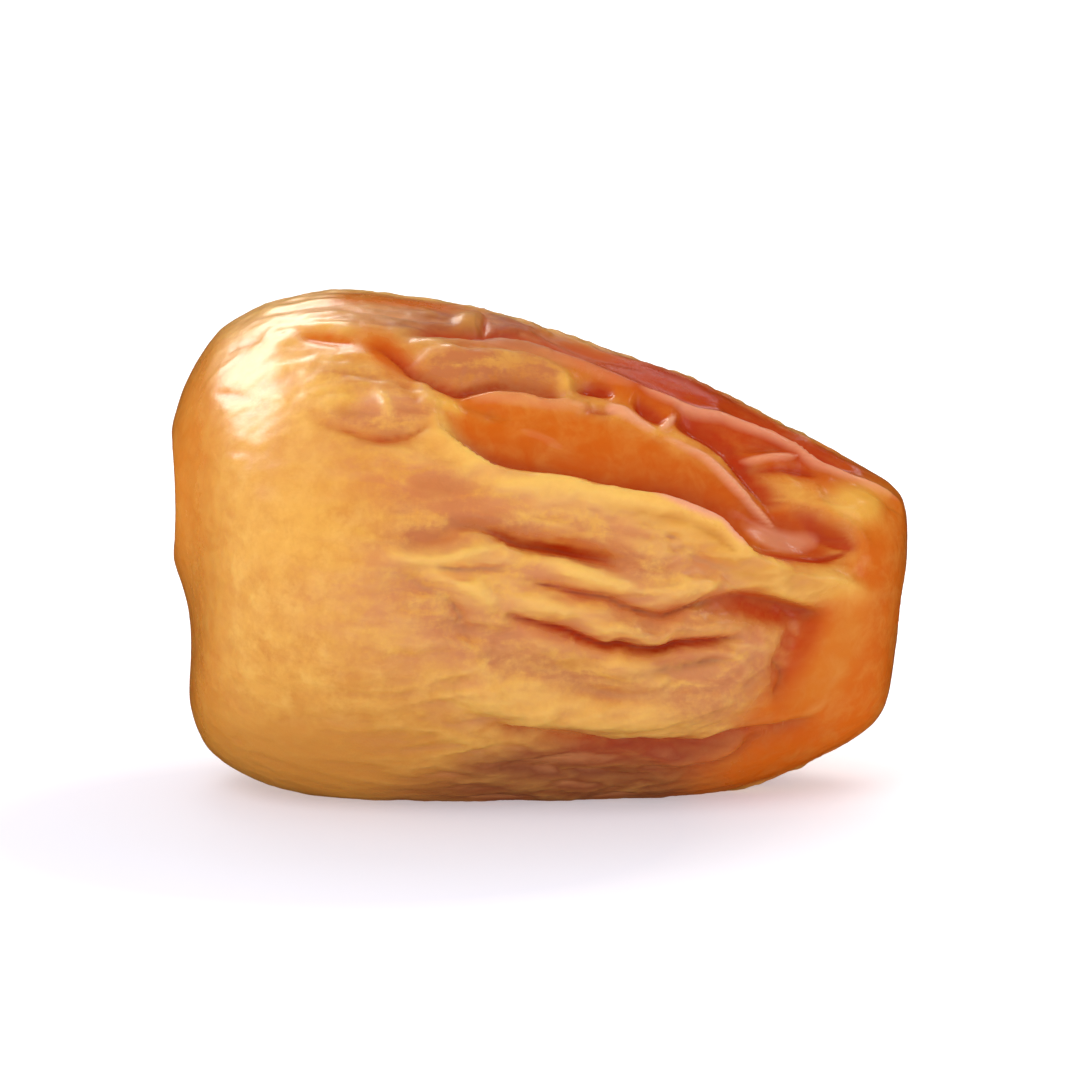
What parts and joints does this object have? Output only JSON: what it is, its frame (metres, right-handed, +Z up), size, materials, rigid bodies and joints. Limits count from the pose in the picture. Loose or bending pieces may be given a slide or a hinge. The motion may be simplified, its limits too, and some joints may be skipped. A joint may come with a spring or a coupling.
{
  "type": "sukkari date",
  "caption": "Dried soft golden date lying on its side, broad smooth calyx end, glossy amber folds running to a narrow blunt tip.",
  "frame": {"origin": "middle of the bounding box seen from above, on the surface that the date rests on", "axes": "+X from the broad calyx end to the narrow tip, -Y towards the viewer of the folded front, +Z up"},
  "size_m": [0.0378, 0.0248, 0.0256],
  "materials": {
    "skin": "thin dry golden skin, matt and finely mottled at the broad calyx end, glossy translucent amber to red-brown in the folds and at the tip"
  },
  "bodies": {
    "root": {"date": "skin"}
  },
  "joints": []
}
